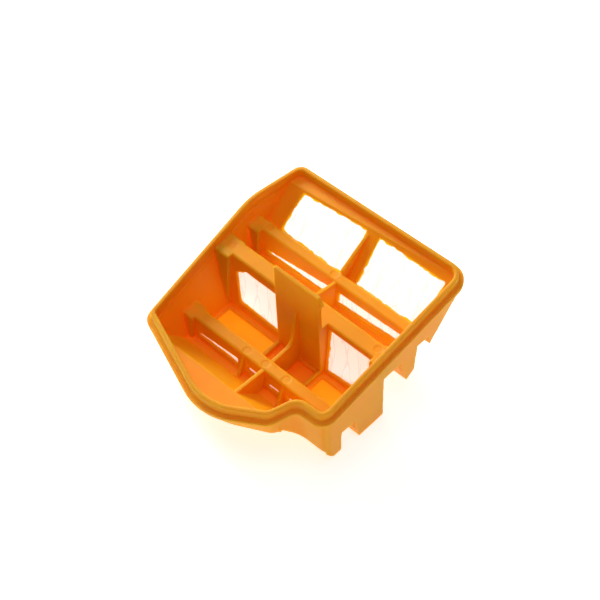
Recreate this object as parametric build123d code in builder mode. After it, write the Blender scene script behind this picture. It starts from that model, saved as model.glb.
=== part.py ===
from build123d import *
import os

# Open lower half of a pleated air filter housing, drawn in millimetres.
# X runs along the pleats, Y across them, +Z up. The origin is the middle of the
# flat foot (the deepest pleat), on the surface the housing stands on.

# ---- driving dimensions ------------------------------------------------------
wall = 1.6              # moulded wall thickness
flange_width = 2.1      # ledge outside the lip
flange_thick = 2.0
lip_height = 4.2
lip_thick = 2.0
bead_width = 0.7        # low step along the foot of the lip
bead_height = 0.5
rim_height = 32.0       # rim plane above the foot, at the origin
rim_rise_x = 0.05       # slopes of the rim plane
rim_rise_y = 0.19

# Corners of the lip's outer face in plan, each with its rounding radius.
lip_corners = [
    ((-45.3, -33.6), 3.5),      # left end of the curved bay
    ((3.85, -52.3), 30),        # crown of the bay
    ((29.2, -39.3), 6),         # right end of the bay
    ((34.3, -27.6), 6),         # inside corner of the recess
    ((48.8, -27.6), 4.8),
    ((49.4, 57.2), 7),
    ((-43.5, 57.2), 5),
    ((-50.7, 32.0), 32),
]

ridge_a_top = 29.1      # tops of the three ridges
ridge_b_top = 32.1
ridge_c_top = 15.7
valley_1 = 2.0          # underside of the nearest valley
shelf_top = 16.2
notch_a = 27.0          # end wall edge over each ridge channel
notch_b = 25.2
notch_c = 14.0
left_draft = 12.5       # end wall slopes, degrees
right_draft = 4.5
side_lean = (0, 0.06, -1)
bay_lean = (0, 0.27, -1)
side_start = 25.0       # heights where the near walls begin to lean
bay_start = 22.0
bay_end = (22.0, -35.0)  # the steeper side wall starts beyond this corner

window_radius = 0.8
window_cut = 6.0        # windows are cut this far each way from a wall's face
shoulder = 1.3          # rounding along the ridge tops
mesh_thick = 0.4
panel_depth = 1.0       # recess over the thin panels in the foot
panel_width = 8.0
panel_middle = -0.8
foot_panels = [(-37.0, -9.6), (18.2, 43.0)]
rib = 1.4               # small ribs and gussets
plate_left = -8.0       # baffle plate
plate_right = 16.8
plate_top = 53.5
plate_near = 3.7
plate_thick = 2.0
ear_setback = 0.7       # small ear on the plate's right edge
web_near_x = 4.0        # middle of each cross web
web_mid_x = 2.2
web_far_x = 1.2
pin_radius = 2.0        # ejector pin marks
pin_depth = 0.25
reach = 70.0            # pleats are drawn this far to each side, then trimmed
sky = 80.0              # above everything
hairline = 0.001        # outer drafted faces stand in by this much

rim_plane = Plane(
    origin=(0, 0, rim_height),
    x_dir=(1, 0, rim_rise_x),
    z_dir=(-rim_rise_x, -rim_rise_y, 1),
)
flange_under = rim_plane.offset(-flange_thick)
rim_normal = Axis(rim_plane.origin, rim_plane.z_dir)

# ---- pleat section as (Y, Z), near to far ------------------------------------
ramp_foot = (-22.7, valley_1)
ramp_foot_in = (-21.9, valley_1 + wall)
ramp_head = (-34.3, shelf_top - wall)
ramp_head_in = (-33.5, shelf_top)
c_under = ridge_c_top - wall
b_under = ridge_b_top - wall
a_under = ridge_a_top - wall
c_near = -18.2          # end wall notch of ridge C
b_near = 7.3            # and of ridge B
a_near = 26.5           # and of ridge A
b_far_foot = (21.6, 9.5)
b_far_foot_in = (22.6, 12.05)
b_far_top = (15.2, b_under)
a_far_top = (32.6, a_under)
valley_3_far = (a_near, 12.7)
valley_3_top = 14.6

# Visible faces of the ridge walls as (foot, head): the sheet that holds the mesh,
# and the posts that stand proud of it at both ends.
c_sheet = [(-18.3, valley_1 + wall), (-17.4, c_under)]
c_post = [(-20.0, valley_1 + wall), (-18.9, c_under)]
c_far_sheet = [(-5.7, wall), (-11.4, c_under)]
c_far_post = [(-5.7, wall), (-10.1, c_under)]
b_sheet = [(b_near - wall, wall), (8.8, b_under)]
b_post = [(plate_near, wall), (6.2, b_under)]
b_back = [(b_near - wall, wall), (b_near - wall, b_under)]      # behind the plate
a_sheet = [(27.3, valley_3_top), (28.8, a_under)]
a_post = [(24.9, valley_3_top), (26.2, a_under)]
slope_foot = (35.7, 20.8)
slope_foot_in = (36.5, 24.1)
slope_rise = 1.128      # far slope, rise over run
slope_end = 62.0


def on_slope(foot, y):
    """Point at y on a line up the far slope from foot."""
    return (y, foot[1] + slope_rise * (y - foot[0]))


def upright(y):
    """Plane facing the near side at y, drawn in X and Z."""
    return Plane(origin=(0, y, 0), x_dir=(1, 0, 0), z_dir=(0, -1, 0))


def leaning(low, high):
    """Plane along X through two (Y, Z) points, drawn in X and distance up."""
    run = high[0] - low[0]
    climb = high[1] - low[1]
    return Plane(origin=(0, *low), x_dir=(1, 0, 0), z_dir=(0, -climb, run))


section_under = [
    ramp_head,
    ramp_foot,
    (c_near, valley_1),
    (c_near, notch_c),
    (-10.15, notch_c),
    (-b_near, 0),
    (b_near, 0),
    (b_near, notch_b),
    (17.86, notch_b),
    b_far_foot,
    valley_3_far,
    (a_near, notch_a),
    (34.46, notch_a),
    slope_foot,
    on_slope(slope_foot, slope_end),
]


# ---- outlines and trimming volumes -------------------------------------------
def rim_outline(inset):
    """Lip's outer face in plan, moved inwards by inset."""
    with BuildSketch() as outline:
        with BuildLine():
            Polyline(*[corner for corner, radius in lip_corners], close=True)
        make_face()
        for corner, radius in lip_corners:
            fillet(outline.vertices().sort_by_distance((*corner, 0))[0], radius=radius)
        if inset:
            offset(amount=-inset, mode=Mode.REPLACE)
    return outline.sketch


def rim_prism(inset, low, high):
    """Upright prism inside the rim outline, cut parallel to the rim plane."""
    with BuildPart() as prism:
        extrude(rim_outline(inset), amount=sky)
        split(bisect_by=rim_plane.offset(low), keep=Keep.TOP)
        split(bisect_by=rim_plane.offset(high), keep=Keep.BOTTOM)
    return prism.part


def inboard_of(corners, inset, draft):
    """Space inboard of one drafted end wall face."""
    with BuildPart() as space:
        with BuildSketch(rim_plane) as top:
            with BuildLine():
                Polyline(*corners, close=True)
            make_face()
            offset(amount=-inset, kind=Kind.INTERSECTION, mode=Mode.REPLACE)
        extrude(amount=10)
        extrude(top.sketch, amount=-reach, taper=draft)
    return space.part


def inside_rim(inset, start, lean):
    """Space inside the rim outline, leaning inwards below the height start."""
    with BuildPart() as space:
        with BuildSketch(Plane.XY.offset(start)) as top:
            add(rim_outline(inset))
        extrude(amount=sky)
        extrude(top.sketch, amount=sky, dir=lean)
    return space.part


with BuildPart() as side_region:
    with Locations((*bay_end, 0)):
        Box(200, 300, 300, align=(Align.MIN, Align.MIN, Align.CENTER))

left_corners = [(-41.4, -99.6), (150, -99.6), (150, 121.9), (-28.0, 121.9), (-50.4, 32.0)]
right_corners = [(49.0, -100), (51.0, 140), (-150, 140), (-150, -100)]
left_outer = inboard_of(left_corners, hairline, left_draft)
left_inner = inboard_of(left_corners, wall, left_draft)
right_outer = inboard_of(right_corners, hairline, right_draft)
right_inner = inboard_of(right_corners, wall, right_draft)
side_outer = inside_rim(0, side_start, side_lean)
side_inner = inside_rim(wall, side_start, side_lean)
bay_outer = inside_rim(0, bay_start, bay_lean)
bay_inner = inside_rim(wall, bay_start, bay_lean)
near_edge_space = inside_rim(-1.0, side_start, side_lean)


def near_space(bay_space, side_space):
    """The bay's leaning space joined to the steeper one at its right."""
    with BuildPart() as side:
        add(side_space)
        add(side_region.part, mode=Mode.INTERSECT)
    with BuildPart() as space:
        add(bay_space)
        add(side_region.part, mode=Mode.SUBTRACT)
        add(side.part)
    return space.part


near_outer = near_space(bay_outer, side_outer)
near_inner = near_space(bay_inner, side_inner)


# ---- building blocks -----------------------------------------------------------
def pleat(points):
    """One wall of the pleats: a (Y, Z) section run between the end walls."""
    with BuildPart() as body:
        with BuildSketch(Plane.YZ):
            with BuildLine():
                Polyline(*points, close=True)
            make_face()
        extrude(amount=reach, both=True)
        add(left_inner, mode=Mode.INTERSECT)
        add(right_inner, mode=Mode.INTERSECT)
    return body.part


def slab(points, x, thickness):
    """A plate across the pleats: a (Y, Z) outline centred on x."""
    with BuildPart() as body:
        with BuildSketch(Plane.YZ.offset(x)):
            with BuildLine():
                Polyline(*points, close=True)
            make_face()
        extrude(amount=thickness / 2, both=True)
    return body.part


def box(x0, x1, low, high):
    """Corners of a rectangular window."""
    return ((x0, low), (x1, low), (x1, high), (x0, high))


def window_shapes(face, windows):
    """Windows given by their corners, drawn on face with rounded corners."""
    with BuildSketch(face) as shapes:
        for corners in windows:
            with BuildLine():
                Polyline(*corners, close=True)
            make_face()
        fillet(shapes.vertices(), radius=window_radius)
    return shapes.sketch


def pierced(blank, face, windows):
    """Wall with its windows cut square to the plane face."""
    with BuildPart() as body:
        add(blank)
        extrude(window_shapes(face, windows), amount=window_cut, both=True, mode=Mode.SUBTRACT)
    return body.part


def mesh_panel(face, window):
    """Woven mesh filling one window, centred on the plane face."""
    with BuildPart() as body:
        extrude(window_shapes(face, [window]), amount=mesh_thick / 2, both=True)
    return body.part


def on_face(face, z):
    """Point at height z on a wall's visible face."""
    (foot_y, foot_z), (head_y, head_z) = face
    return (foot_y + (head_y - foot_y) * (z - foot_z) / (head_z - foot_z), z)


def thick(face, thickness):
    """Section of a wall from its visible face; thickness runs towards the channel."""
    foot, head = face
    return [foot, head, (head[0] + thickness, head[1]), (foot[0] + thickness, foot[1])]


def between(blank, x0, x1):
    """The stretch of a pleat from x0 to x1."""
    with BuildPart() as body:
        add(blank)
        split(bisect_by=Plane.YZ.offset(x0), keep=Keep.TOP)
        split(bisect_by=Plane.YZ.offset(x1), keep=Keep.BOTTOM)
    return body.part


def end_posts(face, left, right):
    """Posts outside the stretch from left to right, with the X of their sides."""
    return [(face, -reach, left, [left - wall]), (face, right, reach, [right])]


def stepped_wall(sheet, thickness, windows, posts):
    """Ridge wall with windows in its sheet, and hollow posts that stand proud of it."""
    back = thick(sheet, thickness)[2:]
    with BuildPart() as body:
        add(pierced(pleat(thick(sheet, thickness)), leaning(*sheet), windows))
        for face, x0, x1, sides in posts:
            add(between(pleat(thick(face, thickness)), x0, x1))
            for side in sides:
                add(between(pleat([*face, *back]), side, side + wall))
    return body.part


def rail(near, far, top):
    """Top of a ridge from near to far, with rounded shoulders."""
    with BuildPart() as body:
        with BuildSketch(Plane.YZ) as section:
            with Locations(((near + far) / 2, top - wall / 2)):
                Rectangle(far - near, wall)
            fillet(section.vertices().group_by(Axis.Y)[-1], radius=shoulder)
        extrude(amount=reach, both=True)
        add(left_inner, mode=Mode.INTERSECT)
        add(right_inner, mode=Mode.INTERSECT)
    return body.part


def ridge_top(bar, caps, top, pins):
    """Ridge top: a bar with wider caps, and shallow round ejector pin marks."""
    with BuildPart() as body:
        add(rail(*bar, top))
        for near, far, x0, x1 in caps:
            add(between(rail(near, far, top), x0, x1))
        add(sealing_lip.part, mode=Mode.SUBTRACT)
        add(rim_flange.part, mode=Mode.SUBTRACT)
        with BuildSketch(Plane.XY.offset(top - pin_depth)):
            with Locations(*pins):
                Circle(pin_radius)
        extrude(amount=wall, mode=Mode.SUBTRACT)
    return body.part


def end_wall(outer, inner):
    """One end wall between its outer and inner faces, toothed along the bottom."""
    with BuildPart() as body:
        with BuildSketch(Plane.YZ):
            with BuildLine():
                Polyline(
                    (-reach, ramp_head[1]),
                    *section_under,
                    (slope_end, sky),
                    (-reach, sky),
                    close=True,
                )
            make_face()
        extrude(amount=reach, both=True)
        add(outer, mode=Mode.INTERSECT)
        add(near_edge_space, mode=Mode.INTERSECT)
        add(inner, mode=Mode.SUBTRACT)
        split(bisect_by=flange_under, keep=Keep.BOTTOM)
    return body.part


def save(piece, name):
    """Name a finished piece and write it out."""
    piece.label = name
    export_step(piece, f"parts/{name}.step")


os.makedirs("parts", exist_ok=True)

# ---- rim ---------------------------------------------------------------------
# The flange runs inwards to the top of the far slope, so its opening stops there.
slope_face = Plane(origin=(0, *slope_foot_in), x_dir=(1, 0, 0), z_dir=(0, -slope_rise, 1))
with BuildPart() as rim_opening:
    add(rim_prism(wall, -20, 10))
    split(bisect_by=slope_face, keep=Keep.TOP)

# Windows in the far slope, which reach up into the flange's slanted inner edge.
slope_top = on_slope(slope_foot, slope_end)
slope_face_under = leaning(slope_foot, slope_top)
slope_windows = [
    ((-37.4, 3.2), (0.2, 2.4), (0.2, 25.6), (-35.3, 22.7)),
    ((6.7, 2.6), (43.0, 2.8), (43.0, 26.2), (6.4, 25.9)),
]

with BuildPart() as rim_flange:
    add(rim_prism(-flange_width, -flange_thick, 0))
    fillet(rim_flange.faces().sort_by(rim_normal)[0].edges(), radius=0.6)
    add(rim_prism(-bead_width, -1, bead_height))
    add(rim_prism(0, 0, 10), mode=Mode.SUBTRACT)
    add(rim_opening.part, mode=Mode.SUBTRACT)
    extrude(
        window_shapes(slope_face_under, slope_windows),
        amount=window_cut,
        both=True,
        mode=Mode.SUBTRACT,
    )
save(rim_flange.part, "rim_flange")

with BuildPart() as sealing_lip:
    add(rim_prism(0, 0, lip_height))
    add(rim_prism(lip_thick, -1, lip_height + 1), mode=Mode.SUBTRACT)
    chamfer(sealing_lip.faces().sort_by(rim_normal)[-1].edges(), length=0.35)
save(sealing_lip.part, "sealing_lip")

# ---- end walls ---------------------------------------------------------------
save(end_wall(left_outer, left_inner), "left_end_wall")
save(end_wall(right_outer, right_inner), "right_end_wall")

# ---- near walls, from the rim down to the shelf and the first valley ----------
def near_band(outer, inner):
    """Near wall between two spaces, above the shelf, ramp and first valley."""
    with BuildPart() as band:
        with BuildSketch(Plane.YZ):
            with BuildLine():
                Polyline(
                    (-reach, shelf_top),
                    ramp_head_in,
                    ramp_foot,
                    (c_post[0][0], valley_1),
                    (c_post[0][0], sky),
                    (-reach, sky),
                    close=True,
                )
            make_face()
        extrude(amount=reach, both=True)
        add(outer, mode=Mode.INTERSECT)
        add(inner, mode=Mode.SUBTRACT)
        add(left_inner, mode=Mode.INTERSECT)
        add(right_inner, mode=Mode.INTERSECT)
        split(bisect_by=flange_under, keep=Keep.BOTTOM)
    return band.part


with BuildPart() as bay_wall:
    add(near_band(bay_outer, bay_inner))
    add(side_region.part, mode=Mode.SUBTRACT)
save(bay_wall.part, "bay_wall")

with BuildPart() as near_side_wall:
    add(near_band(side_outer, side_inner))
    add(side_region.part, mode=Mode.INTERSECT)
save(near_side_wall.part, "near_side_wall")

with BuildPart() as bay_shelf:
    add(pleat([ramp_head, ramp_head_in, (-reach, shelf_top), (-reach, ramp_head[1])]))
    add(near_outer, mode=Mode.INTERSECT)
save(bay_shelf.part, "bay_shelf")

with BuildPart() as bay_ramp:
    add(pleat([ramp_foot, ramp_foot_in, ramp_head_in, ramp_head]))
    add(near_inner, mode=Mode.INTERSECT)
save(bay_ramp.part, "bay_ramp")

# ---- floors of the valleys ---------------------------------------------------
c_floor_end = c_sheet[0][0] + wall
with BuildPart() as valley_1_floor:
    add(
        pleat(
            [(c_floor_end, valley_1), (c_floor_end, valley_1 + wall), ramp_foot_in, ramp_foot]
        )
    )
    add(near_inner, mode=Mode.INTERSECT)
save(valley_1_floor.part, "valley_1_floor")

foot_blank = pleat([(-b_near, 0), (b_near, 0), (b_near, wall), (-b_near, wall)])
with BuildPart() as foot_floor:
    add(foot_blank)
    with BuildSketch(Plane.XY.offset(wall - panel_depth)):
        for x0, x1 in foot_panels:
            with Locations(((x0 + x1) / 2, panel_middle)):
                RectangleRounded(x1 - x0, panel_width, window_radius)
    extrude(amount=wall, mode=Mode.SUBTRACT)
save(foot_floor.part, "foot_floor")

a_floor_end = a_sheet[0][0] + wall
save(
    pleat(
        [
            b_far_foot,
            valley_3_far,
            (a_floor_end, valley_3_far[1]),
            (a_floor_end, valley_3_top),
            a_post[0],
            b_far_foot_in,
        ]
    ),
    "valley_3_floor",
)

# ---- ridge C -----------------------------------------------------------------
c_posts_at = (-36.4, 42.0)
c_windows = [
    ((-33.8, 2.6), (-10.6, 2.4), (-10.6, 6.4), (-33.8, 4.4)),
    box(-5.2, 2.4, 3.2, 6.2),
    box(6.9, 13.3, 2.6, 5.4),
    box(18.2, 40.0, 2.2, 6.0),
]
c_far_windows = [box(-33, -10, 2.4, 10.2), box(18, 40.0, 2.4, 10.2)]
save(
    stepped_wall(c_sheet, wall, c_windows, end_posts(c_post, *c_posts_at)),
    "ridge_c_near_wall",
)
save(
    stepped_wall(c_far_sheet, -wall, c_far_windows, end_posts(c_far_post, *c_posts_at)),
    "ridge_c_far_wall",
)
save(
    ridge_top(
        (c_sheet[1][0], c_far_sheet[1][0]),
        [
            (c_post[1][0], c_far_post[1][0], -reach, c_posts_at[0]),
            (c_post[1][0], c_far_post[1][0], c_posts_at[1], reach),
        ],
        ridge_c_top,
        [(-7.4, -14.8), (3.1, -14.7), (15.0, -14.6)],
    ),
    "ridge_c_top",
)

# ---- ridge B -----------------------------------------------------------------
b_posts_at = (-38.5, 42.0)
b_windows = [
    ((-33.3, 4.4), (-9.4, 3.4), (-9.4, 25.2), (-30.1, 25.6), (-36.0, 21.5)),
    ((17.8, 1.4), (32.0, 3.4), (40.6, 3.8), (40.6, 27.6), (17.8, 27.6)),
]
b_posts = end_posts(b_post, *b_posts_at)
b_posts.append((b_back, plate_left, plate_right, [plate_left, plate_right - wall]))
save(stepped_wall(b_sheet, wall, b_windows, b_posts), "ridge_b_near_wall")
b_far_wall = pleat([b_far_foot, b_far_foot_in, (b_far_top[0] + wall, b_under), b_far_top])
b_far_face = leaning(b_far_foot, b_far_top)
b_far_windows = [box(-34, 0.0, 3.6, 19.0), box(4.4, 43.5, 3.6, 19.0)]
save(pierced(b_far_wall, b_far_face, b_far_windows), "ridge_b_far_wall")
b_cap_far = 17.4
save(
    ridge_top(
        (b_sheet[1][0], b_far_top[0] + wall),
        [
            (b_post[1][0], b_cap_far, -reach, b_posts_at[0]),
            (b_back[1][0], b_far_top[0] + wall, plate_left, plate_right),
            (b_post[1][0], b_cap_far, b_posts_at[1], reach),
        ],
        ridge_b_top,
        [(-41.4, 12.4), (40.8, 13.4)],
    ),
    "ridge_b_top",
)

# ---- ridge A -----------------------------------------------------------------
a_posts_at = (-40.3, 43.5)
a_windows = [
    ((-37.3, 2.2), (-0.6, 3.2), (-0.6, 8.8), (-37.3, 4.2)),
    ((4.0, 2.4), (38.0, 5.2), (41.0, 5.4), (41.0, 10.6), (4.0, 9.2)),
]
save(
    stepped_wall(a_sheet, wall, a_windows, end_posts(a_post, *a_posts_at)),
    "ridge_a_near_wall",
)
save(
    pleat([a_far_top, (a_far_top[0] + wall, a_under), slope_foot_in, slope_foot]),
    "ridge_a_far_wall",
)
a_cap_far = 34.5
save(
    ridge_top(
        (a_sheet[1][0], a_far_top[0] + wall),
        [
            (a_post[1][0], a_cap_far, -reach, a_posts_at[0]),
            (a_post[1][0], a_cap_far, a_posts_at[1], reach),
        ],
        ridge_a_top,
        [(-38.8, 31.9), (-0.6, 31.6)],
    ),
    "ridge_a_top",
)

# ---- far slope ---------------------------------------------------------------
with BuildPart() as slope_blank:
    add(pleat([slope_foot, slope_foot_in, on_slope(slope_foot_in, slope_end), slope_top]))
    split(bisect_by=flange_under, keep=Keep.BOTTOM)
save(pierced(slope_blank.part, slope_face_under, slope_windows), "far_slope")

# ---- cross webs, ribs and gussets --------------------------------------------
save(
    slab(
        [(c_sheet[1][0], 15.2), c_sheet[1], c_sheet[0], ramp_foot_in, ramp_head_in],
        web_near_x,
        wall,
    ),
    "web_bay",
)
with BuildPart() as web_plate:
    with BuildSketch(Plane.YZ.offset(web_near_x)) as outline:
        with BuildLine():
            Polyline(
                (plate_near, wall),
                (plate_near, 37.5),
                (0.6, 21),
                (0.0, 15.9),
                (c_far_sheet[1][0], 15.3),
                c_far_sheet[1],
                c_far_sheet[0],
                close=True,
            )
        make_face()
        fillet(outline.vertices().sort_by_distance((0, 15.9, 0))[0], radius=4)
    extrude(amount=wall / 2, both=True)
save(web_plate.part, "web_plate")
save(
    slab(
        [
            (b_far_top[0] + wall, 31.2),
            (b_far_top[0] + wall, b_under),
            b_far_foot_in,
            a_post[0],
            a_sheet[0],
            a_sheet[1],
            (a_sheet[1][0], 28.6),
        ],
        web_mid_x,
        wall,
    ),
    "web_mid",
)
save(
    slab(
        [
            (a_far_top[0] + wall, 30.5),
            (a_far_top[0] + wall, a_under),
            slope_foot_in,
            on_slope(slope_foot_in, 50.8),
        ],
        web_far_x,
        wall,
    ),
    "web_far",
)
gusset = [c_sheet[1], c_sheet[0], ramp_foot_in]
for name, x in (("gusset_left", -7.5), ("gusset_right", 15.5)):
    save(slab(gusset, x, rib), name)
foot_rib_top = wall + 2.5
foot_rib = [
    (plate_near, wall),
    (plate_near, foot_rib_top),
    on_face(c_far_sheet, foot_rib_top),
    c_far_sheet[0],
]
for name, x in (
    ("foot_rib_left", plate_left + rib / 2),
    ("foot_rib_right", plate_right - rib / 2),
):
    save(slab(foot_rib, x, rib), name)
with BuildPart() as foot_bead:
    with BuildSketch(Plane.XY.offset(wall)):
        with Locations(((web_near_x + wall / 2 + plate_right - rib) / 2, plate_near - 0.6)):
            Rectangle(plate_right - rib - web_near_x - wall / 2, 1.2)
    extrude(amount=1.6)
save(foot_bead.part, "foot_bead")

# ---- baffle plate, standing against ridge B ------------------------------------
with BuildPart() as baffle_plate:
    with BuildSketch(upright(plate_near)):
        with BuildLine():
            Polyline(*box(plate_left, plate_right, wall, plate_top), close=True)
        make_face()
    extrude(amount=-plate_thick)
    with BuildSketch(upright(plate_near + ear_setback)):
        with BuildLine():
            Polyline(
                (plate_right, plate_top - 0.6),
                (plate_right + 1.8, plate_top - 4.5),
                (plate_right, plate_top - 8),
                close=True,
            )
        make_face()
    extrude(amount=ear_setback - plate_thick)
    top_edges = baffle_plate.faces().sort_by(Axis.Z)[-1].edges()
    chamfer(top_edges.filter_by(Axis.X), length=0.4)
save(baffle_plate.part, "baffle_plate")

# ---- mesh --------------------------------------------------------------------
for name, face, windows in (
    ("mesh_slope", slope_face_under.offset(wall / 2), slope_windows),
    ("mesh_a_near", leaning(*a_sheet).offset(-wall / 2), a_windows),
    ("mesh_b_far", b_far_face.offset(-wall / 2), b_far_windows),
    ("mesh_b_near", leaning(*b_sheet).offset(-wall / 2), b_windows),
    ("mesh_c_far", leaning(*c_far_sheet).offset(wall / 2), c_far_windows),
    ("mesh_c_near", leaning(*c_sheet).offset(-wall / 2), c_windows),
):
    for number, window in enumerate(windows, start=1):
        save(mesh_panel(face, window), f"{name}_{number}")
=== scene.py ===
import math

import bmesh
import bpy
from mathutils import Matrix, Vector, geometry, noise


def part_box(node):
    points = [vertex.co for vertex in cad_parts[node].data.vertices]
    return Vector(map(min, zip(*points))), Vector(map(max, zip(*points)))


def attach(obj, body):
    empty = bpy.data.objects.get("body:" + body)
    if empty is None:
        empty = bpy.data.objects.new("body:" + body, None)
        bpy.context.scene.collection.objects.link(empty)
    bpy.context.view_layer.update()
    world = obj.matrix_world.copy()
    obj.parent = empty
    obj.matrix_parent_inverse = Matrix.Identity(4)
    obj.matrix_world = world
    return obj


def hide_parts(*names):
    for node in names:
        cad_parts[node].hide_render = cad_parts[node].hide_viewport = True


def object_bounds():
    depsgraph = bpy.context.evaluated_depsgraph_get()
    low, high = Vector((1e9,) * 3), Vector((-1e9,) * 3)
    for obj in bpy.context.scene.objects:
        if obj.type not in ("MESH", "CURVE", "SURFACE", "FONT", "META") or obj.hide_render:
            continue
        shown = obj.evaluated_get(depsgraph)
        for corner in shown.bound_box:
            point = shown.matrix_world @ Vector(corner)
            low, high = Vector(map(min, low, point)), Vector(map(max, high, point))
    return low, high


# Orange nylon air filter housing on a pale studio floor. Everything is in metres, in the
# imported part's own frame.

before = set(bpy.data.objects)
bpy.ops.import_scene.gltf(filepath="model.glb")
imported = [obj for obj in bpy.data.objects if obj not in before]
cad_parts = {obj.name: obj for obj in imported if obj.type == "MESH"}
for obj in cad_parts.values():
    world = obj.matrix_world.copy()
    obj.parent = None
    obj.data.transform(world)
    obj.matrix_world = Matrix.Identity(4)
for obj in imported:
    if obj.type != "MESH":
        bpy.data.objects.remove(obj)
cad_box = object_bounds()

MM = 0.001
VOXEL = 0.25 * MM
SOFT_FACTOR = 0.5           # how far each smoothing pass moves the moulding's points
SOFT_PASSES = 2
GLOW_DEPTH = 2.6 * MM       # how far light travels inside the plastic

MESH_PREFIX = "mesh_"
PANEL_MARGIN = 0.5 * MM     # how far a panel of mesh runs into the plastic round it
PANEL_STEP = 0.6 * MM       # spacing of a panel's points
SAME_POINT = 0.01 * MM      # outline corners nearer than this are one corner
SAG = 0.12 * MM             # height of the ripples in a panel
SAG_FADE = 2 * MM           # the ripples die away this near to its edge
RIPPLES = (90, 60, 700)     # ripples per metre along, up and from one panel to the next
THREAD_PITCH = 0.42 * MM
FLASH_WIDTH = 0.6 * MM      # plastic that crept over the mesh at a window's edge
FLASH_WANDER = 1.0 * MM     # how much that width varies

FLOOR_REACH = 6.0           # from the middle of the floor to its edge
FLOOR_GAP = 0.05 * MM       # the floor lies this far under the foot
LIGHT_TARGET = Vector((0, 0, 0.02))
SURROUND = 0.16             # strength of the even light from all round

CAMERA_PLACE = Vector((0.38146, -0.3576, 0.7175))
CAMERA_RIGHT = Vector((0.7243, 0.6887, -0.0337))    # towards the picture's right side
CAMERA_BACK = Vector((0.4405, -0.4246, 0.7910))     # from the housing towards the camera
CAMERA_CLEAR = 0.01         # nothing nearer to the camera than this is drawn
LENS_MM = 125.5
SENSOR_MM = 36


# ---- node helpers ------------------------------------------------------------
def new_material(name):
    """Empty node material with its output node."""
    material = bpy.data.materials.new(name)
    material.use_nodes = True
    material.node_tree.nodes.clear()
    output = material.node_tree.nodes.new("ShaderNodeOutputMaterial")
    return material, material.node_tree, output


def node(tree, kind, inputs=None, **settings):
    """Shader node with its settings and unlinked input values."""
    made = tree.nodes.new(kind)
    for key, value in settings.items():
        setattr(made, key, value)
    for key, value in (inputs or {}).items():
        made.inputs[key].default_value = value
    return made


def feed(tree, socket, value):
    """Give a socket a plain number or another node's output."""
    if isinstance(value, (int, float)):
        socket.default_value = value
    else:
        tree.links.new(value, socket)


def maths(tree, operation, *values):
    """Math node over one or two numbers or outputs."""
    made = node(tree, "ShaderNodeMath", operation=operation)
    for socket, value in zip(made.inputs, values):
        feed(tree, socket, value)
    return made.outputs["Value"]


def mix(tree, share, first, second):
    """Two shaders mixed, with the given share of the second."""
    made = node(tree, "ShaderNodeMixShader")
    feed(tree, made.inputs["Fac"], share)
    tree.links.new(first, made.inputs[1])
    tree.links.new(second, made.inputs[2])
    return made.outputs["Shader"]


def spread(tree, value, source, target):
    """Value taken from the range source to the range target."""
    limits = {
        "From Min": source[0],
        "From Max": source[1],
        "To Min": target[0],
        "To Max": target[1],
    }
    made = node(tree, "ShaderNodeMapRange", limits)
    tree.links.new(value, made.inputs["Value"])
    return made.outputs["Result"]


def ramp(tree, factor, *stops):
    """Colour ramp over factor, from (position, colour) stops."""
    made = node(tree, "ShaderNodeValToRGB")
    elements = made.color_ramp.elements
    for element, (position, colour) in zip(elements, stops):
        element.position = position
        element.color = colour
    for position, colour in stops[2:]:
        elements.new(position).color = colour
    tree.links.new(factor, made.inputs["Fac"])
    return made.outputs["Color"]


def noise_at(tree, vector, scale, detail=3.0, roughness=0.5):
    """Noise texture value, scale in cycles per unit of the vector."""
    made = node(
        tree, "ShaderNodeTexNoise", {"Scale": scale, "Detail": detail, "Roughness": roughness}
    )
    tree.links.new(vector, made.inputs["Vector"])
    return made.outputs["Fac"]


def bump(tree, height, strength, distance, normal=None):
    """Bump node over a height value."""
    made = node(tree, "ShaderNodeBump", {"Strength": strength, "Distance": distance})
    tree.links.new(height, made.inputs["Height"])
    if normal:
        tree.links.new(normal, made.inputs["Normal"])
    return made.outputs["Normal"]


def object_place(tree):
    """Position in the object's own frame."""
    return node(tree, "ShaderNodeTexCoord").outputs["Object"]


# ---- materials ---------------------------------------------------------------
def nylon_material():
    """Matt translucent orange nylon with fine spark-eroded grain and faint flow marks."""
    material, tree, output = new_material("orange_nylon")
    place = object_place(tree)
    flow = noise_at(tree, place, scale=45, detail=2)
    mottle = noise_at(tree, place, scale=900)
    grain = noise_at(tree, place, scale=4200, detail=2, roughness=0.6)
    colour = ramp(tree, flow, (0.3, (0.95, 0.385, 0.005, 1)), (0.7, (1.0, 0.425, 0.008, 1)))
    shade = ramp(tree, mottle, (0.25, (0.8, 0.8, 0.8, 1)), (0.75, (1, 1, 1, 1)))
    speck = node(tree, "ShaderNodeMixRGB", {"Fac": 0.12}, blend_type="MULTIPLY")
    tree.links.new(colour, speck.inputs["Color1"])
    tree.links.new(shade, speck.inputs["Color2"])
    shader = node(
        tree,
        "ShaderNodeBsdfPrincipled",
        {
            "Subsurface Weight": 1.0,
            "Subsurface Radius": (1.0, 0.86, 0.03),
            "Subsurface Scale": GLOW_DEPTH,
            "IOR": 1.5,
            "Specular IOR Level": 0.22,
        },
        subsurface_method="RANDOM_WALK",
    )
    gloss = spread(tree, mottle, source=(0.3, 0.7), target=(0.42, 0.58))
    dimples = bump(tree, mottle, strength=0.1, distance=0.12 * MM)
    normal = bump(tree, grain, strength=0.12, distance=0.05 * MM, normal=dimples)
    tree.links.new(speck.outputs["Color"], shader.inputs["Base Color"])
    tree.links.new(gloss, shader.inputs["Roughness"])
    tree.links.new(normal, shader.inputs["Normal"])
    tree.links.new(shader.outputs["BSDF"], output.inputs["Surface"])
    return material


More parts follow.
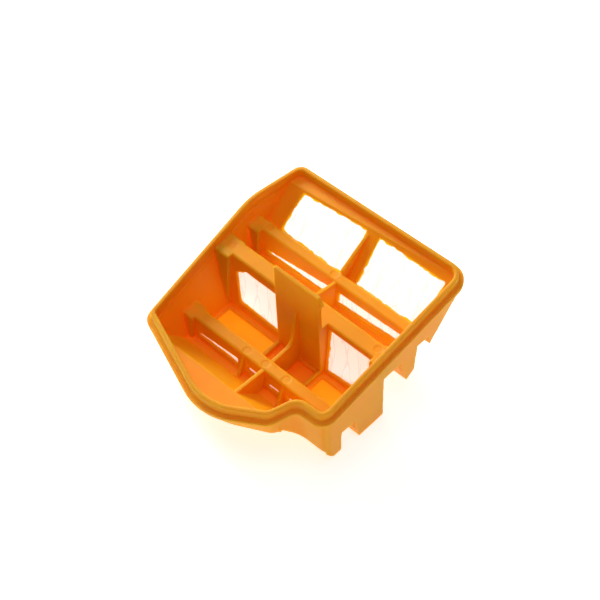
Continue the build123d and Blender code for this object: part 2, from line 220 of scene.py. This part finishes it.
def woven_shader(tree):
    """Plain weave of fine white thread, open between the threads, with faint folds painted as
    pink shade and orange reflection, and a painted white glow.
    """
    uv = node(tree, "ShaderNodeUVMap", uv_map="weave").outputs["UV"]
    axes = node(tree, "ShaderNodeSeparateXYZ")
    tree.links.new(uv, axes.inputs["Vector"])

    def threads(axis):
        """Rounded profile of the threads that cross one axis."""
        scaled = maths(tree, "MULTIPLY", axes.outputs[axis], math.pi / THREAD_PITCH)
        return maths(tree, "ABSOLUTE", maths(tree, "SINE", scaled))

    weave = maths(tree, "MAXIMUM", threads("X"), threads("Y"))
    cover = spread(tree, weave, source=(0.55, 0.9), target=(0.2, 0.9))

    stretched = node(tree, "ShaderNodeMapping", {"Scale": (230, 34, 1), "Rotation": (0, 0, 0.35)})
    tree.links.new(uv, stretched.inputs["Vector"])
    # The folds are real, but their pink bands are painted shade and painted reflection of the
    # orange plastic, not the thread's own colour.
    plain = (1.0, 0.985, 0.97, 1)
    fold_shade_and_reflection = (0.88, 0.60, 0.56, 1)
    folds = noise_at(tree, stretched.outputs["Vector"], scale=1.0, detail=1.5, roughness=0.4)
    colour = ramp(tree, folds, (0.47, plain), (0.56, plain), (0.515, fold_shade_and_reflection))

    # The thread's white emission is a painted glow, standing in for light from below shining
    # through the mesh.
    shader = node(
        tree,
        "ShaderNodeBsdfPrincipled",
        {"Roughness": 0.5, "Emission Color": (1, 0.99, 0.98, 1), "Emission Strength": 0.5},
    )
    tree.links.new(colour, shader.inputs["Base Color"])
    normal = bump(tree, weave, strength=0.3, distance=0.06 * MM)
    tree.links.new(normal, shader.inputs["Normal"])
    glow = node(tree, "ShaderNodeBsdfTranslucent")
    tree.links.new(colour, glow.inputs["Color"])
    thread = mix(tree, 0.4, shader.outputs["BSDF"], glow.outputs["BSDF"])
    clear = node(tree, "ShaderNodeBsdfTransparent")
    return mix(tree, cover, clear.outputs["BSDF"], thread)


def flash_shader(tree):
    """Thin orange film that lets light through."""
    film = node(
        tree,
        "ShaderNodeBsdfPrincipled",
        {"Roughness": 0.45, "Base Color": (1.0, 0.55, 0.004, 1), "Specular IOR Level": 0.3},
    )
    lit = node(tree, "ShaderNodeBsdfTranslucent", {"Color": (1.0, 0.62, 0.004, 1)})
    return mix(tree, 0.6, film.outputs["BSDF"], lit.outputs["BSDF"])


def mesh_material():
    """Woven white mesh, with a wandering border of orange flash."""
    material, tree, output = new_material("white_filter_mesh")
    border = node(tree, "ShaderNodeUVMap", uv_map="border").outputs["UV"]
    inward = node(tree, "ShaderNodeSeparateXYZ")
    tree.links.new(border, inward.inputs["Vector"])
    widths = (FLASH_WIDTH - FLASH_WANDER / 2, FLASH_WIDTH + FLASH_WANDER / 2)
    wander = noise_at(tree, object_place(tree), scale=260)
    edge = spread(tree, wander, source=(0.3, 0.7), target=widths)
    past = maths(tree, "GREATER_THAN", inward.outputs["X"], edge)
    surface = mix(tree, past, flash_shader(tree), woven_shader(tree))
    tree.links.new(surface, output.inputs["Surface"])
    return material


def floor_material():
    """Pale seamless studio paper that glows a little, as on a light table."""
    material, tree, output = new_material("studio_paper")
    shader = node(
        tree,
        "ShaderNodeBsdfPrincipled",
        {
            "Roughness": 0.9,
            "Specular IOR Level": 0.1,
            "Emission Color": (1, 1, 1, 1),
            "Emission Strength": 0.66,
        },
    )
    cloud = noise_at(tree, object_place(tree), scale=30, detail=4)
    darker = (0.925, 0.925, 0.925, 1)
    lighter = (0.94, 0.94, 0.94, 1)
    colour = ramp(tree, cloud, (0.3, darker), (0.7, lighter))
    tree.links.new(colour, shader.inputs["Base Color"])
    tree.links.new(shader.outputs["BSDF"], output.inputs["Surface"])
    return material


# ---- mesh helpers ------------------------------------------------------------
def add_object(name, mesh, material):
    """New object in the scene with its material."""
    made = bpy.data.objects.new(name, mesh)
    bpy.context.scene.collection.objects.link(made)
    made.data.materials.clear()
    made.data.materials.append(material)
    return made


def as_mesh(made, name):
    """Mesh of the given name from a bmesh, which is freed."""
    mesh = bpy.data.meshes.new(name)
    made.to_mesh(mesh)
    made.free()
    return mesh


def applied(source, name, material):
    """Plain copy of source with its modifiers applied."""
    bpy.context.view_layer.update()
    graph = bpy.context.evaluated_depsgraph_get()
    mesh = bpy.data.meshes.new_from_object(source.evaluated_get(graph))
    bpy.data.objects.remove(source)
    return add_object(name, mesh, material)


def inset_from(outline, point):
    """Distance from a point to the nearest side of a convex outline, positive inside."""
    nearest = math.inf
    for start, end in zip(outline, outline[1:] + outline[:1]):
        side = end - start
        nearest = min(nearest, side.cross(point - start) / side.length)
    return nearest


def convex_outline(points):
    """Corners of the convex outline round flat points, without repeats."""
    corners = [points[i] for i in geometry.convex_hull_2d(points)]
    following = corners[1:] + corners[:1]
    return [p for p, q in zip(corners, following) if (q - p).length > SAME_POINT]


# ---- pieces ------------------------------------------------------------------
def moulding(names, material):
    """The housing's one moulding: its regions fused, with edges and inside corners softened."""
    made = bmesh.new()
    for name in names:
        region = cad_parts[name]
        start = len(made.verts)
        made.from_mesh(region.data)
        made.verts.ensure_lookup_table()
        made.verts.index_update()
        bmesh.ops.transform(made, matrix=region.matrix_world, verts=made.verts[start:])
    regions = add_object("regions", as_mesh(made, "regions"), material)
    fused = regions.modifiers.new("fused", "REMESH")
    fused.mode = "VOXEL"
    fused.voxel_size = VOXEL
    fused.use_smooth_shade = True
    soft = regions.modifiers.new("soft", "SMOOTH")
    soft.factor = SOFT_FACTOR
    soft.iterations = SOFT_PASSES
    housing = applied(regions, "moulding", material)
    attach(housing, "root")
    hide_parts(*names)


def panel(name, material):
    """One window's mesh: a fine stretched sheet in the middle of its wall."""
    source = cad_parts[name]
    widest = max(source.data.polygons, key=lambda polygon: polygon.area)
    along = Vector((1, 0, 0))
    climb = widest.normal.cross(along).normalized()
    if climb.z < 0:
        climb.negate()
    across = along.cross(climb)
    low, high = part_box(name)
    middle = (Vector(low) + Vector(high)) / 2
    corners = [source.matrix_world @ v.co - middle for v in source.data.vertices]
    flat = [Vector((corner.dot(along), corner.dot(climb))) for corner in corners]
    outline = convex_outline(flat)
    x0 = min(p.x for p in flat) - PANEL_MARGIN
    x1 = max(p.x for p in flat) + PANEL_MARGIN
    y0 = min(p.y for p in flat) - PANEL_MARGIN
    y1 = max(p.y for p in flat) + PANEL_MARGIN
    columns = max(2, round((x1 - x0) / PANEL_STEP))
    rows = max(2, round((y1 - y0) / PANEL_STEP))

    made = bmesh.new()
    weave = made.loops.layers.uv.new("weave")
    border = made.loops.layers.uv.new("border")
    grid = []
    for j in range(rows + 1):
        line = []
        for i in range(columns + 1):
            u = x0 + (x1 - x0) * i / columns
            v = y0 + (y1 - y0) * j / rows
            edge = min(u - x0, x1 - u, v - y0, y1 - v) / SAG_FADE
            ripple = Vector((u * RIPPLES[0], v * RIPPLES[1], low[1] * RIPPLES[2]))
            sag = SAG * min(1, edge) * noise.noise(ripple)
            vert = made.verts.new(middle + along * u + climb * v + across * sag)
            line.append((vert, (u, v), (inset_from(outline, Vector((u, v))), 0)))
        grid.append(line)
    for below, above in zip(grid, grid[1:]):
        for i in range(columns):
            square = (below[i], below[i + 1], above[i + 1], above[i])
            if max(inset[0] for vert, place, inset in square) < -PANEL_MARGIN:
                continue
            face = made.faces.new([vert for vert, place, inset in square])
            face.smooth = True
            for loop, (vert, place, inset) in zip(face.loops, square):
                loop[weave].uv = place
                loop[border].uv = inset
    loose = [vert for vert in made.verts if not vert.link_faces]
    bmesh.ops.delete(made, geom=loose, context="VERTS")

    woven = add_object(name + "_woven", as_mesh(made, name + "_woven"), material)
    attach(woven, "root")
    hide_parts(name)


# ---- camera, floor and light -------------------------------------------------
def add_camera():
    """Camera above the near right corner, with a long lens."""
    data = bpy.data.cameras.new("camera")
    data.sensor_width = SENSOR_MM
    data.lens = LENS_MM
    data.clip_start = CAMERA_CLEAR
    camera = bpy.data.objects.new("camera", data)
    bpy.context.scene.collection.objects.link(camera)
    back = CAMERA_BACK.normalized()
    up = back.cross(CAMERA_RIGHT.normalized()).normalized()
    right = up.cross(back)
    rotation = Matrix((right, up, back)).transposed().to_4x4()
    camera.matrix_world = Matrix.Translation(CAMERA_PLACE) @ rotation
    bpy.context.scene.camera = camera


def add_floor():
    """Seamless floor under the housing's foot."""
    made = bmesh.new()
    bmesh.ops.create_grid(made, x_segments=2, y_segments=2, size=FLOOR_REACH)
    floor = add_object("floor", as_mesh(made, "floor"), floor_material())
    floor.location.z = cad_box[0][2] - FLOOR_GAP


def add_area(name, place, size, power):
    """Square soft white light aimed at the housing."""
    data = bpy.data.lights.new(name, "AREA")
    data.size = size
    data.energy = power
    light = bpy.data.objects.new(name, data)
    bpy.context.scene.collection.objects.link(light)
    light.location = place
    light.rotation_euler = (LIGHT_TARGET - Vector(place)).to_track_quat("-Z", "Y").to_euler()


def add_world():
    """Even white surround."""
    world = bpy.data.worlds.new("studio")
    bpy.context.scene.world = world
    world.use_nodes = True
    surround = world.node_tree.nodes["Background"]
    surround.inputs["Color"].default_value = (1, 1, 1, 1)
    surround.inputs["Strength"].default_value = SURROUND


# ---- build -------------------------------------------------------------------
moulding(
    sorted(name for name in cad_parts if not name.startswith(MESH_PREFIX)),
    nylon_material(),
)
filter_mesh = mesh_material()
for name in sorted(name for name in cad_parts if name.startswith(MESH_PREFIX)):
    panel(name, filter_mesh)

add_camera()
add_floor()
add_world()
add_area("key", (-0.9, 0.3, 0.6), size=0.6, power=11)
add_area("top", (0.0, 0.1, 1.4), size=1.0, power=5)
bpy.context.scene.view_settings.view_transform = "Standard"
